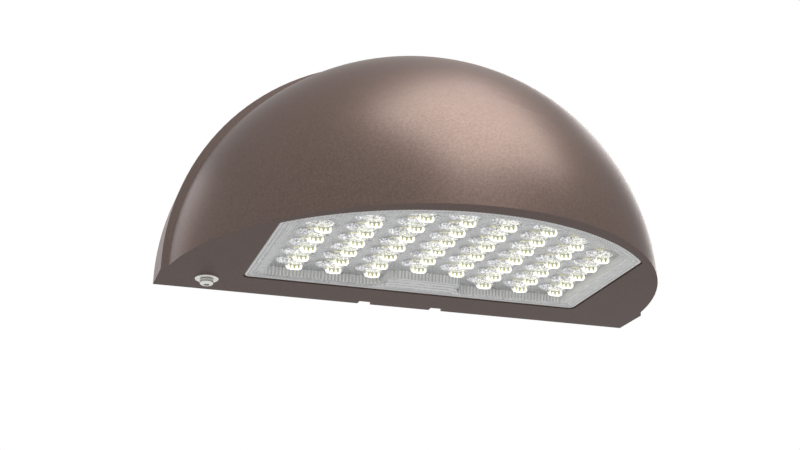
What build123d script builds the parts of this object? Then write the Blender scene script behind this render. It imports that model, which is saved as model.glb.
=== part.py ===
from build123d import *
import os
from math import cos, pi, radians, sin, sqrt

# Half-dome wall pack light, millimetres. Everything is drawn with the flat bottom face at z = 0
# and the wall at y = 0, the light reaching towards -Y, and moved down by MOUNT_HEIGHT when it is
# written, so that the origin is the centre of the junction box holes on the wall.

# ---- Housing casting ----
MOUNT_HEIGHT = 95.0        # junction box centre above the bottom face
SEAT_GAP = 2.5             # rear edge of the housing to the wall
RIM_RADIUS = 190.5         # half of the overall width
RIM_DEPTH = 36.0           # straight rear rim, front to back
SHOULDER_DEPTH = 8.5       # slanted step from the rim in to the dome
DOME_ROOT_RADIUS = 186.0   # dome where it leaves the shoulder
DOME_AXIS_DROP = 3.5       # dome axis below the bottom face
DOME_ROOT_ANGLE = 8.7      # lean of the dome's flank at its root, degrees
DOME_FLANK_RADIUS = 214.5  # profile radius of the flank
DOME_NOSE_ANGLE = 55.6     # where the flank arc passes into the nose arc, degrees
REACH_PAST = 10.0          # how far a cut runs on past an open face
SHELL = 3.2                # wall of the casting
SHOULDER_OVERLAP = 0.2     # inner shoulder into the inner dome
FLOOR = 3.5                # bottom plate of the casting
NOTCH_X = 29.0             # weep notches, each side of the centre
NOTCH_WIDTH = 10.0
NOTCH_DEPTH = 5.7
STOP_RIB_X = 105.0         # ribs that rest against the wall plate when the light is shut
STOP_RIB_WIDTH = 16.0
STOP_RIB_HEIGHT = 24.0
STOP_RIB_THICK = 4.0

# ---- Clearances ----
AIR = 0.3                  # between pieces that move past each other
SHAFT_FIT = 0.08           # radial, rod in its hooks and screw in its nut
SCREW_FIT = 0.2            # radial, fastener in its clearance hole
SEAT = 0.1                 # gap between pieces that rest on each other
FLANGE_CLEAR = 0.6         # lens flange and gasket inside the shell
TRAY_CLEAR = 1.5           # tray inside the shell

# ---- Wall plate ----
PLATE_MARGIN = 22.5        # edge of the plate inside the housing's rim
PLATE_BOTTOM = 6.0
PLATE_THICK = 5.0
WIRE_HOLE_RADIUS = 16.0
BOX_HOLE_SPACING = 88.9    # two-screw junction box
BOX_SLOT_WIDTH = 5.4
BOX_SLOT_LENGTH = 14.0
ANCHOR_RADIUS = 3.5
ANCHOR_SPACING_X = 220.0
ANCHOR_SPACING_Z = 80.0
ANCHOR_BOTTOM = 30.0
WALL_GASKET_RADIUS = 60.0  # middle of the ring
WALL_GASKET_WIDTH = 6.0
WALL_GASKET_DEPTH = 3.0
GROUND_X = 60.0
GROUND_Z = 30.0
GROUND_HEAD_RADIUS = 4.5
GROUND_HEAD_HEIGHT = 3.5
GROUND_SHORT = 1.0         # tip of the earth screw short of the wall

# ---- Hook hinge ----
TILT_LIMIT = 30.0          # degrees, where the rear top edge comes up to the wall
ROD_OUT = 18.0             # rod axis in front of the wall
ROD_RADIUS = 2.5
LUG_X = 32.0
LUG_THICK = 6.0
LUG_REACH = 7.5            # lug in front of and behind the rod axis
LUG_BELOW = 7.0            # lug below the rod axis
ROD_CHAMFER = 0.5
HOOK_SIDE_PLAY = 0.4       # between each hook and the lug beside it
HOOK_WIDTH = 8.0
HOOK_WALL = 2.4
HOOK_ARM = 6.0             # height of the arm under the hook
HOOK_ARM_DROP = 23.5       # top of the arms below the crown of the rim

# ---- Clamp screw, nut and tab ----
SCREW_INSET = 35.0         # screw axis in from the left end of the rim
SCREW_BACK = 25.5          # screw axis in front of the housing's rear edge
SCREW_RADIUS = 3.0
SCREW_TIP = 33.0
SCREW_HEAD_RADIUS = 4.9
SCREW_HEAD_HEIGHT = 3.7
SCREW_HEAD_EDGE = 1.6
SCREW_SOCKET = 4.0         # across the flats
SCREW_SOCKET_DEPTH = 2.5
WASHER_RADIUS = 8.6
WASHER_THICK = 1.2
WASHER_CHAMFER = 0.5
BOSS_RADIUS = 6.5
BOSS_TOP = 9.5
TAB_LIFT = 1.4             # tab above the boss, for the arc of the opening
TAB_THICK = 3.0
TAB_WIDTH = 14.0
TAB_SLOT_WIDTH = 6.8
TAB_PAST_SCREW = 8.0
NUT_SIDE = 15.0
NUT_THICK = 6.0
NUT_CHAMFER = 0.6
GUIDE_THICK = 3.0
GUIDE_TOP = 29.0
RING_RADIUS = 5.0
RING_THICK = 1.0
RING_BELOW_TIP = 3.0       # lower face of the ring below the screw's tip

# ---- Light window and clear lens ----
LENS_HALF_WIDTH = 130.6
LENS_BACK = 35.5           # back edge, in front of the housing's rear edge
LENS_ARC_RADIUS = 179.6
LENS_ARC_CENTRE = 25.6
LENS_CORNER = 4.0
LENS_CORNER_LEAST = 0.6    # however far the outline is moved inwards
LENS_RECESS = 1.2          # lens face above the bottom face
BEAD_WIDTH = 1.5           # bead along the edge of the lens face
BEAD_PROUD = 0.5
WINDOW_GAP = 0.8
LENS_SKIN = 2.4
LENS_TOP = 12.0            # top of the lens's outer wall
FLANGE_REACH = 6.5
FLANGE_THICK = 2.4
GASKET_INSET = 0.5         # gasket inside the flange's edge
WINDOW_GASKET_THICK = 1.5
BORDER_SIDE = 12.6         # flat border round the optic field
BORDER_BACK = 7.6
BORDER_FRONT = 9.0
FIELD_HEIGHT = 6.4         # optic field above the lens face
STEP_HALF_WIDTH = 28.0     # plain step over the board connectors
STEP_DEPTH = 19.0
STEP_ELBOW = 5.0           # rounding of the step's corners
FIELD_CORNER = 5.0
FLUTE_PITCH = 2.65
FLUTE_DEPTH = 0.9
FLUTE_GAP = 7.0            # plain wall each side of a screw post
FLUTE_END = 3.0            # plain wall past each corner

# ---- Optics and LED boards ----
OPTIC_PITCH_X = 29.3
OPTIC_PITCH_Y = 19.6
FIRST_ROW = 61.0           # row nearest the wall, in front of the housing's rear edge
COLUMN_ROWS = {0.5: range(1, 7), 1.5: range(0, 7), 2.5: range(0, 6), 3.5: range(0, 5)}
LOBE_RADIUS = 6.6          # each of the dome's two lobes, at the optic field
LOBE_SPREAD = 4.2          # centre of each lobe beside the LED
OPTIC_HEIGHT = 3.4
PRISM_RADIUS = 7.6         # inner face of the curved prism behind the dome
PRISM_FORWARD = 1.6        # centre of its curve in front of the LED
PRISM_HEIGHT = 5.4
PRISM_TIP = 0.8            # thickness at its edge
PRISM_FOOT = 3.4           # thickness at the optic field
PRISM_SPREAD = 62.0        # its reach each way round the LED, degrees
OPTIC_ROOT = 0.5           # dome and prism into the skin of the field
LED_SIDE = 5.0
LED_THICK = 1.0
BOARD_THICK = 1.6
BOARD_SPLIT = 1.0          # gap between the two boards
BOARD_INSET = 3.0
BOARD_HOLES = ((1, 1.5), (1, 4.5), (2, 2.5), (2, 5.5), (3, 0.5), (3, 3.5))
PAD_THICK = 0.5
CONNECTOR_X = 13.0
CONNECTOR_BACK = 50.0
CONNECTOR_SIZE = (12.0, 8.0, 4.0)
CONNECTOR_WALL = 1.0
CONNECTOR_MOUTH = 2.0      # depth of the mouth

# ---- Tray with the driver on it ----
SEAL_THICK = 1.5
SEAL_INSET = 0.4           # seal inside each face of the lens's outer wall
TRAY_THICK = 2.5
TRAY_BACK = 32.0
EAR_HALF_WIDTH = 156.0
EAR_START = 44.0
EAR_END = 106.0
TRAY_SCREW_X = 148.0
TRAY_SCREW_ROWS = (53.0, 97.0)
TRAY_BOSS_RADIUS = 5.0
TRAY_BOSS_FLOOR = 2.0      # left under each tray screw's hole
TRAY_MARGIN_SIDE = 6.0     # tray past the lens
TRAY_MARGIN_FRONT = 4.5
EAR_CORNER = 6.0
BOARD_CORNER = 4.0
LEDGE_X = 42.0
LEDGE_WIDTH = 16.0
LEDGE_START = 199.0
LEDGE_HEIGHT = 7.0
LEDGE_LENGTH = 30.0        # before the shell cuts it off
LENS_POST_SPREAD = 61.5
LENS_POST_BACK_ROW = 40.6
LENS_POST_SIDE_X = 123.0
LENS_POST_SIDE_ROW = 126.0
LENS_POST_FRONT_X = 74.0
LENS_POST_RADIUS = 3.0
DRIVER_SIZE = (176.0, 46.0, 32.0)
DRIVER_BACK = 78.0
DRIVER_X = 12.0
END_PLATE = 2.0
DRIVER_EDGE = 2.5          # rounding of the case's long edges
COOLING_GROOVES = 5
COOLING_PITCH = 7.0
COOLING_WIDTH = 2.0
COOLING_DEPTH = 1.2
BRACKET_THICK = 1.5
BRACKET_FOOT = 14.0
BRACKET_WIDTH = 20.0
BRACKET_X = 60.0
SURGE_SIZE = (34.0, 46.0, 26.0)
SURGE_X = -104.0
SURGE_EAR = 9.0
SURGE_EAR_INSET = 8.0      # each ear in from the sides
SURGE_EAR_THICK = 3.0
SURGE_CORNER = 4.0
TERMINAL_SIZE = (46.0, 18.0, 20.0)
TERMINAL_X = 92.5
TERMINAL_BACK = 40.0
TERMINAL_WAYS = 3
TERMINAL_FOOT = 7.0
TERMINAL_FOOT_HEIGHT = 4.0
TERMINAL_MOUTH = 1.8
TERMINAL_PROBE = 4.0       # depth of the test holes in the top
VENT_X = -92.0
VENT_BACK = 40.6
VENT_RADIUS = 6.5
VENT_STEM = 3.0
VENT_CAP = 4.0
VENT_EDGE = 1.0
GROMMET_BACK = 41.5
GROMMET_RADIUS = 4.0
GROMMET_LIP = 1.5
GROMMET_LIP_THICK = 1.2
WIRE_RADIUS = 1.1
WIRE_BEND = 6.0
WIRE_SLACK = 0.2
DRIVER_WIRES = (8.0, 14.0)   # wire heights above the driver's underside
SUPPLY_RISE = 6.0          # supply wires above the tray
WIRE_LANES = (66.0, 70.0)  # wires beside the driver, in front of the housing's rear edge
WIRE_LOOP = 12.0           # first wire past the end of the driver
WIRE_STAGGER = 4.0         # second wire past the first
WIRE_RUN_BEND = 5.94       # just under the bend, so that the run keeps a straight end

# ---- Small fasteners ----
M3_RADIUS = 1.5
M3_HEAD_RADIUS = 2.9
M3_HEAD_HEIGHT = 1.8
M4_RADIUS = 2.0
M4_HEAD_RADIUS = 3.8
M4_HEAD_HEIGHT = 2.4
HEAD_TAPER = 0.7           # top of a pan head over its foot
BOARD_HEAD_HEIGHT = 0.9    # low heads under the lens
PAD_HOLE_RADIUS = 3.0
LONG_SCREW = 9.0           # lens and tray screws below their heads

# ---- Levels and places that follow from the sizes above ----
ROOT_DEPTH = RIM_DEPTH + SHOULDER_DEPTH
TILT = radians(TILT_LIMIT)
ROD_DROP = (ROD_OUT - (ROD_OUT - SEAT_GAP) * cos(TILT)) / sin(TILT) - SEAT
ROD_Z = RIM_RADIUS - ROD_DROP
HOOK_ARM_TOP = RIM_RADIUS - HOOK_ARM_DROP
ROD_LENGTH = 2 * LUG_X + LUG_THICK
HOOK_X = LUG_X - LUG_THICK / 2 - HOOK_SIDE_PLAY - HOOK_WIDTH / 2
SCREW_X = SCREW_INSET - RIM_RADIUS
SCREW_Y = -SEAT_GAP - SCREW_BACK
PLATE_RADIUS = RIM_RADIUS - PLATE_MARGIN
TAB_BOTTOM = BOSS_TOP + TAB_LIFT
TAB_TOP = TAB_BOTTOM + TAB_THICK
FIELD_FACE = LENS_RECESS + FIELD_HEIGHT
FIELD_TOP = FIELD_FACE + LENS_SKIN
FLANGE_BOTTOM = FLOOR + WINDOW_GASKET_THICK
TRAY_BOTTOM = LENS_TOP + SEAL_THICK
TRAY_TOP = TRAY_BOTTOM + TRAY_THICK
BOARD_TOP = TRAY_BOTTOM - PAD_THICK
BOARD_FACE = BOARD_TOP - BOARD_THICK
DRIVER_Z = TRAY_TOP + BRACKET_THICK


def y_at(depth):
    """Y of a point so far in front of the housing's rear edge."""
    return -SEAT_GAP - depth


def slab(face, low, high):
    """A flat face in the XY plane made solid between two heights."""
    return Pos(0, 0, low) * extrude(face, high - low)


def block(x0, x1, y0, y1, z0, z1):
    """A box given by its faces."""
    centre = ((x0 + x1) / 2, (y0 + y1) / 2, (z0 + z1) / 2)
    return Pos(*centre) * Box(abs(x1 - x0), abs(y1 - y0), abs(z1 - z0))


def upright(radius, x, y, low, high):
    """A cylinder along Z."""
    return Pos(x, y, (low + high) / 2) * Cylinder(radius, high - low)


def along_wall(radius, x, z, back, front):
    """A cylinder along Y, from y = -back to y = -front."""
    return Pos(x, -(back + front) / 2, z) * Rot(90, 0, 0) * Cylinder(radius, abs(front - back))


def hang(radius, x, y, low, high):
    """A pan-head screw hanging head up: shank from low to high, head on top."""
    head = M3_HEAD_RADIUS if radius == M3_RADIUS else M4_HEAD_RADIUS
    height = M3_HEAD_HEIGHT if radius == M3_RADIUS else M4_HEAD_HEIGHT
    return upright(radius, x, y, low, high) + Pos(x, y, high) * Cone(
        head, head * HEAD_TAPER, height, align=(Align.CENTER, Align.CENTER, Align.MIN)
    )


# ---- Housing ----
def flank_centre():
    angle = radians(DOME_ROOT_ANGLE)
    return (
        DOME_ROOT_RADIUS - DOME_FLANK_RADIUS * cos(angle),
        ROOT_DEPTH - DOME_FLANK_RADIUS * sin(angle),
    )


def dome(wall):
    """The turned dome, its surface the wall's thickness inside the outer one."""
    root, nose = radians(DOME_ROOT_ANGLE), radians(DOME_NOSE_ANGLE)
    centre_x, centre_depth = flank_centre()
    nose_radius = (centre_x + DOME_FLANK_RADIUS * cos(nose)) / cos(nose)
    nose_centre = centre_depth + (DOME_FLANK_RADIUS - nose_radius) * sin(nose)

    def flank(angle):
        reach = DOME_FLANK_RADIUS - wall
        return (centre_x + reach * cos(angle), y_at(centre_depth + reach * sin(angle)))

    def front(angle):
        reach = nose_radius - wall
        return (reach * cos(angle), y_at(nose_centre + reach * sin(angle)))

    start, tip = flank(root), front(pi / 2)
    outline = [
        ThreePointArc(start, flank((root + nose) / 2), flank(nose)),
        ThreePointArc(flank(nose), front((nose + pi / 2) / 2), tip),
        Polyline(tip, (0, start[1]), start),
    ]
    return Pos(0, 0, -DOME_AXIS_DROP) * revolve(make_face(outline), Axis.Y, 360)


def round_section(radius, depth, axis_z):
    return Plane(origin=(0, y_at(depth), axis_z), z_dir=(0, -1, 0)) * Circle(radius)


def dome_form(wall, back, floor):
    """Rim, shoulder and dome as one solid above the floor height."""
    rim = extrude(round_section(RIM_RADIUS - wall, back, 0), RIM_DEPTH - back)
    root_radius = DOME_ROOT_RADIUS - wall - (SHOULDER_OVERLAP if wall else 0)
    shoulder = loft(
        [
            round_section(RIM_RADIUS - wall, RIM_DEPTH, 0),
            round_section(root_radius, ROOT_DEPTH, -DOME_AXIS_DROP),
        ],
        ruled=True,
    )
    whole = rim + shoulder + dome(wall)
    reach = 2 * RIM_RADIUS
    return whole & block(-reach, reach, -2 * reach, reach, floor, reach)


def d_face(half_width, back, arc_radius, corner=0.0):
    """Straight back and sides with an arched front."""
    front = LENS_ARC_CENTRE + sqrt(arc_radius**2 - half_width**2)
    left, right = (-half_width, y_at(front)), (half_width, y_at(front))
    sides = Polyline(left, (-half_width, y_at(back)), (half_width, y_at(back)), right)
    nose = ThreePointArc(right, (0, y_at(LENS_ARC_CENTRE + arc_radius)), left)
    face = make_face([sides, nose])
    return fillet(face.vertices(), corner) if corner else face


def lens_outline(offset):
    """The lens's outline, moved outwards by offset."""
    return d_face(
        LENS_HALF_WIDTH + offset,
        LENS_BACK - offset,
        LENS_ARC_RADIUS + offset,
        max(LENS_CORNER + offset, LENS_CORNER_LEAST),
    )


def field_outline(offset):
    """The optic field's outline, moved outwards by offset, with the plain step left out."""
    back = LENS_BACK + BORDER_BACK - offset
    arc = LENS_ARC_RADIUS - BORDER_FRONT + offset
    whole = d_face(LENS_HALF_WIDTH - BORDER_SIDE + offset, back, arc, FIELD_CORNER)
    half = STEP_HALF_WIDTH - offset
    step = Pos(0, y_at(back)) * Rectangle(2 * half, 2 * STEP_DEPTH)
    face = whole - step
    for depth, radius in ((back, STEP_ELBOW + offset), (back + STEP_DEPTH, STEP_ELBOW - offset)):
        ends = [v for v in face.vertices() if abs(abs(v.X) - half) + abs(v.Y - y_at(depth)) < 0.01]
        face = fillet(ends, radius)
    return face


def optic_places():
    """Plan position of each optic and LED."""
    for column, rows in COLUMN_ROWS.items():
        for row in rows:
            for side in (-1, 1):
                yield side * column * OPTIC_PITCH_X, y_at(FIRST_ROW + row * OPTIC_PITCH_Y)


def lens_posts():
    """Where screws hold the lens up to the tray: five behind, one each side and three in front."""
    places = [(n * LENS_POST_SPREAD, y_at(LENS_POST_BACK_ROW)) for n in range(-2, 3)]
    middle = LENS_ARC_RADIUS - (BORDER_FRONT + LENS_SKIN) / 2
    for side in (-1, 0, 1):
        x = side * LENS_POST_FRONT_X
        places.append((x, y_at(LENS_ARC_CENTRE + sqrt(middle**2 - x**2))))
        if side:
            places.append((side * LENS_POST_SIDE_X, y_at(LENS_POST_SIDE_ROW)))
    return places


def tray_screw_places():
    return [(side * TRAY_SCREW_X, y_at(row)) for side in (-1, 1) for row in TRAY_SCREW_ROWS]


def housing_bosses(outer):
    """Everything cast on the inside of the shell."""
    cast = []
    for x, y in tray_screw_places():
        cast.append(upright(TRAY_BOSS_RADIUS, x, y, FLOOR - 1, TRAY_BOTTOM))
    for side in (-1, 1):
        ledge = block(
            side * LEDGE_X - LEDGE_WIDTH / 2,
            side * LEDGE_X + LEDGE_WIDTH / 2,
            y_at(LEDGE_START),
            y_at(LEDGE_START + LEDGE_LENGTH),
            TRAY_TOP + SEAT,
            TRAY_TOP + LEDGE_HEIGHT,
        )
        lug = block(
            side * LUG_X - LUG_THICK / 2,
            side * LUG_X + LUG_THICK / 2,
            -ROD_OUT - LUG_REACH,
            -ROD_OUT + LUG_REACH,
            ROD_Z - LUG_BELOW,
            RIM_RADIUS,
        )
        rib = block(
            side * STOP_RIB_X - STOP_RIB_WIDTH / 2,
            side * STOP_RIB_X + STOP_RIB_WIDTH / 2,
            -PLATE_THICK - AIR,
            -PLATE_THICK - AIR - STOP_RIB_THICK,
            FLOOR - 1,
            STOP_RIB_HEIGHT,
        )
        guide_x = SCREW_X + side * (NUT_SIDE / 2 + AIR + GUIDE_THICK / 2)
        guide = block(
            guide_x - GUIDE_THICK / 2,
            guide_x + GUIDE_THICK / 2,
            SCREW_Y - NUT_SIDE / 2,
            SCREW_Y + NUT_SIDE / 2,
            FLOOR - 1,
            GUIDE_TOP,
        )
        cast += [ledge & outer, lug & outer, rib, guide]
    cast.append(upright(BOSS_RADIUS, SCREW_X, SCREW_Y, FLOOR - 1, BOSS_TOP))
    return cast


def housing():
    outer = dome_form(0, 0, 0)
    shell = outer - dome_form(SHELL, -REACH_PAST, FLOOR)
    for piece in housing_bosses(outer):
        shell += piece
    shell -= slab(lens_outline(WINDOW_GAP), -1, FLOOR + 1)
    for side in (-1, 1):
        x = side * NOTCH_X
        shell -= block(x - NOTCH_WIDTH / 2, x + NOTCH_WIDTH / 2, 0, y_at(NOTCH_DEPTH), -1, FLOOR + 1)
    shell -= upright(SCREW_RADIUS + AIR, SCREW_X, SCREW_Y, -1, BOSS_TOP + 1)
    shell -= Pos(0, -ROD_OUT, ROD_Z) * Rot(0, 90, 0) * Cylinder(ROD_RADIUS, ROD_LENGTH)
    for x, y in tray_screw_places():
        shell -= upright(M4_RADIUS, x, y, FLOOR + TRAY_BOSS_FLOOR, TRAY_BOTTOM + 1)
    return shell


# ---- Light engine ----
def prism():
    """Curved ridge behind an optic's dome, which throws its light away from the wall."""
    root, tip = FIELD_FACE + OPTIC_ROOT, FIELD_FACE - PRISM_HEIGHT
    section = Polyline(
        (PRISM_RADIUS, root),
        (PRISM_RADIUS, tip),
        (PRISM_RADIUS + PRISM_TIP, tip),
        (PRISM_RADIUS + PRISM_FOOT, root),
        close=True,
    )
    ridge = revolve(Plane.XZ * make_face(section), Axis.Z, 2 * PRISM_SPREAD)
    return Pos(0, -PRISM_FORWARD, 0) * Rot(0, 0, 90 - PRISM_SPREAD) * ridge


def optic():
    """A dome of two round lobes with its prism, over an LED at the middle."""
    ball = (LOBE_RADIUS**2 + OPTIC_HEIGHT**2) / (2 * OPTIC_HEIGHT)
    centre = FIELD_FACE - OPTIC_HEIGHT + ball
    lobes = [Pos(side * LOBE_SPREAD, 0, centre) * Sphere(ball) for side in (-1, 1)]
    reach = 2 * ball
    below = block(-reach, reach, -reach, reach, FIELD_FACE - reach, FIELD_FACE + OPTIC_ROOT)
    return ((lobes[0] + lobes[1]) & below) + prism()


def flutes():
    """Upright V grooves in the back wall of the optic field, between the post pockets."""
    back = y_at(LENS_BACK + BORDER_BACK)
    start = STEP_HALF_WIDTH + STEP_ELBOW + FLUTE_END
    end = LENS_HALF_WIDTH - BORDER_SIDE - FIELD_CORNER - FLUTE_END
    groove = RegularPolygon(FLUTE_DEPTH, 4)
    cuts = []
    for side in (-1, 1):
        for n in range(int((end - start) / FLUTE_PITCH) + 1):
            x = side * (start + n * FLUTE_PITCH)
            if abs(abs(x) - LENS_POST_SPREAD) < FLUTE_GAP:
                continue
            cuts.append(slab(Pos(x, back) * groove, LENS_RECESS - 1, FIELD_FACE))
    front = y_at(LENS_BACK + BORDER_BACK + STEP_DEPTH)
    steps = int((STEP_HALF_WIDTH - STEP_ELBOW) / FLUTE_PITCH)
    for n in range(-steps, steps + 1):
        cuts.append(slab(Pos(n * FLUTE_PITCH, front) * groove, LENS_RECESS - 1, FIELD_FACE))
    return cuts


def lens():
    """The clear cover: flat border, sunken optic field, plain step, flange and screw posts."""
    body = slab(lens_outline(0), LENS_RECESS, LENS_TOP)
    body += slab(lens_outline(FLANGE_REACH), FLANGE_BOTTOM, FLANGE_BOTTOM + FLANGE_THICK) & (
        dome_form(SHELL + FLANGE_CLEAR, 0, FLOOR)
    )
    channel = lens_outline(-LENS_SKIN) - field_outline(LENS_SKIN)
    body -= slab(channel, LENS_RECESS + LENS_SKIN, LENS_TOP + 1)
    body -= slab(lens_outline(-LENS_SKIN), FIELD_TOP, LENS_TOP + 1)
    body -= slab(field_outline(0), LENS_RECESS - 1, FIELD_FACE)
    bead = lens_outline(0) - lens_outline(-BEAD_WIDTH)
    body += slab(bead, LENS_RECESS - BEAD_PROUD, LENS_RECESS + LENS_SKIN)
    for cut in flutes():
        body -= cut
    for x, y in lens_posts():
        post = upright(LENS_POST_RADIUS, x, y, LENS_RECESS + 1, TRAY_BOTTOM)
        hole = upright(M3_RADIUS, x, y, LENS_RECESS + LENS_SKIN, TRAY_BOTTOM + 1)
        body = body + post - hole
    pattern = optic()
    return body + [Pos(x, y, 0) * pattern for x, y in optic_places()]


def window_gasket():
    """Foam ring between the bottom plate and the lens flange."""
    flange = slab(lens_outline(FLANGE_REACH - GASKET_INSET), FLOOR, FLANGE_BOTTOM)
    inside = slab(lens_outline(WINDOW_GAP), FLOOR - 1, FLANGE_BOTTOM + 1)
    return (flange & dome_form(SHELL + FLANGE_CLEAR, 0, FLOOR)) - inside


def lens_seal():
    """Silicone ring between the lens's outer wall and the tray."""
    return slab(lens_outline(-SEAL_INSET) - lens_outline(SEAL_INSET - LENS_SKIN), LENS_TOP, TRAY_BOTTOM)


def board_outline(side):
    """Half of the optic field, as seen from above, without the corner by the posts."""
    inset = BORDER_SIDE + BOARD_INSET
    whole = d_face(
        LENS_HALF_WIDTH - inset,
        LENS_BACK + BORDER_BACK + BOARD_INSET,
        LENS_ARC_RADIUS - BORDER_FRONT - BOARD_INSET,
        BOARD_CORNER,
    )
    reach = 2 * LENS_HALF_WIDTH
    middle = side * (BOARD_SPLIT / 2 + reach / 2)
    return whole & (Pos(middle, y_at(LENS_ARC_CENTRE + reach / 2)) * Rectangle(reach, 2 * reach))


def board_screw_places(side):
    for column, row in BOARD_HOLES:
        yield side * column * OPTIC_PITCH_X, y_at(FIRST_ROW + row * OPTIC_PITCH_Y)


def drilled_sheet(side, low, high, radius):
    sheet = slab(board_outline(side), low, high)
    for x, y in board_screw_places(side):
        sheet -= upright(radius, x, y, low - 1, high + 1)
    return sheet


def leds(side):
    """LED packages on the underside of one board."""
    return [
        block(x - LED_SIDE / 2, x + LED_SIDE / 2, y - LED_SIDE / 2, y + LED_SIDE / 2,
              BOARD_FACE - LED_THICK, BOARD_FACE)
        for x, y in optic_places()
        if x * side > 0
    ]


def board_screws():
    """Screws that hold the boards up to the tray, heads down."""
    screws = []
    for side in (-1, 1):
        for x, y in board_screw_places(side):
            shank = upright(M3_RADIUS, x, y, BOARD_FACE, TRAY_TOP)
            head = upright(M3_HEAD_RADIUS, x, y, BOARD_FACE - BOARD_HEAD_HEIGHT, BOARD_FACE)
            screws.append(shank + head)
    return screws


def board_connectors():
    width, depth, height = CONNECTOR_SIZE
    sockets = []
    for side in (-1, 1):
        x = side * CONNECTOR_X
        y = y_at(CONNECTOR_BACK)
        shell = block(x - width / 2, x + width / 2, y, y - depth, BOARD_FACE - height, BOARD_FACE)
        half = width / 2 - CONNECTOR_WALL
        low, high = BOARD_FACE - height + CONNECTOR_WALL, BOARD_FACE - CONNECTOR_WALL
        mouth = block(x - half, x + half, y + 1, y - CONNECTOR_MOUTH, low, high)
        sockets.append(shell - mouth)
    return sockets


# ---- Tray ----
def tray_outline():
    whole = d_face(
        LENS_HALF_WIDTH + TRAY_MARGIN_SIDE, TRAY_BACK, LENS_ARC_RADIUS + TRAY_MARGIN_FRONT
    )
    ears = Pos(0, y_at((EAR_START + EAR_END) / 2)) * Rectangle(
        2 * EAR_HALF_WIDTH, EAR_END - EAR_START
    )
    return whole + fillet(ears.vertices(), EAR_CORNER)


def driver_span():
    """Left, right, back and front faces of the driver."""
    length, width, _ = DRIVER_SIZE
    return (
        DRIVER_X - length / 2,
        DRIVER_X + length / 2,
        y_at(DRIVER_BACK),
        y_at(DRIVER_BACK + width),
    )


def bracket_screw_places():
    _, _, back, front = driver_span()
    for side in (-1, 1):
        x = DRIVER_X + side * BRACKET_X
        yield x, back + BRACKET_FOOT / 2
        yield x, front - BRACKET_FOOT / 2


def surge_screw_places():
    _, _, back, front = driver_span()
    middle = (back + front) / 2
    half = SURGE_SIZE[1] / 2 + SURGE_EAR / 2
    return [(SURGE_X, middle - half), (SURGE_X, middle + half)]


def terminal_screw_places():
    y = y_at(TERMINAL_BACK + TERMINAL_SIZE[1] / 2)
    half = (TERMINAL_SIZE[0] - TERMINAL_FOOT) / 2
    return [(TERMINAL_X - half, y), (TERMINAL_X + half, y)]


def tray():
    """Heat spreader that carries the boards below and the driver above."""
    plate = slab(tray_outline(), TRAY_BOTTOM, TRAY_TOP) & dome_form(SHELL + TRAY_CLEAR, 0, FLOOR)
    low, high = TRAY_BOTTOM - 1, TRAY_TOP + 1
    for x, y in tray_screw_places():
        plate -= upright(M4_RADIUS + SCREW_FIT, x, y, low, high)
    for x, y in lens_posts():
        plate -= upright(M3_RADIUS + SCREW_FIT, x, y, low, high)
    for side in (-1, 1):
        for x, y in board_screw_places(side):
            plate -= upright(M3_RADIUS, x, y, low, high)
        plate -= upright(GROMMET_RADIUS, side * CONNECTOR_X, y_at(GROMMET_BACK), low, high)
    for x, y in [*bracket_screw_places(), *surge_screw_places(), *terminal_screw_places()]:
        plate -= upright(M3_RADIUS, x, y, low, high)
    return plate - upright(VENT_STEM, VENT_X, y_at(VENT_BACK), low, high)


def top_screws(places, radius, reach, seat):
    """Screws put in from above, their heads on the seat."""
    return [hang(radius, x, y, seat - reach, seat) for x, y in places]


def driver_case():
    left, right, back, front = driver_span()
    case = block(left + END_PLATE, right - END_PLATE, back, front, DRIVER_Z, DRIVER_Z + DRIVER_SIZE[2])
    case = fillet(case.edges().filter_by(Axis.X), DRIVER_EDGE)
    top, half = DRIVER_Z + DRIVER_SIZE[2], COOLING_WIDTH / 2
    for n in range(COOLING_GROOVES):
        y = (back + front) / 2 + (n - (COOLING_GROOVES - 1) / 2) * COOLING_PITCH
        case -= block(left, right, y - half, y + half, top - COOLING_DEPTH, top + 1)
    return case


def driver_ends():
    left, right, back, front = driver_span()
    top = DRIVER_Z + DRIVER_SIZE[2]
    plates = []
    for x0, x1 in ((left, left + END_PLATE), (right - END_PLATE, right)):
        plate = block(x0, x1, back, front, DRIVER_Z, top)
        for rise in DRIVER_WIRES:
            hole = Cylinder(WIRE_RADIUS + WIRE_SLACK, 3 * END_PLATE)
            plate -= Pos((x0 + x1) / 2, (back + front) / 2, DRIVER_Z + rise) * Rot(0, 90, 0) * hole
        plates.append(plate)
    return plates


def driver_brackets():
    """Sheet straps over the driver, each with two feet screwed to the tray."""
    _, _, back, front = driver_span()
    top = DRIVER_Z + DRIVER_SIZE[2]
    straps = []
    for side in (-1, 1):
        x0 = DRIVER_X + side * BRACKET_X - BRACKET_WIDTH / 2
        x1 = x0 + BRACKET_WIDTH
        strap = block(x0, x1, back + BRACKET_THICK, front - BRACKET_THICK, TRAY_TOP,
                      top + BRACKET_THICK)
        strap -= block(x0 - 1, x1 + 1, back, front, DRIVER_Z, top)
        strap += block(x0, x1, back, back + BRACKET_FOOT, TRAY_TOP, TRAY_TOP + BRACKET_THICK)
        strap += block(x0, x1, front, front - BRACKET_FOOT, TRAY_TOP, TRAY_TOP + BRACKET_THICK)
        for x, y in bracket_screw_places():
            strap -= upright(M3_RADIUS + SCREW_FIT, x, y, TRAY_TOP - 1, DRIVER_Z + 1)
        straps.append(strap)
    return straps


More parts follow.
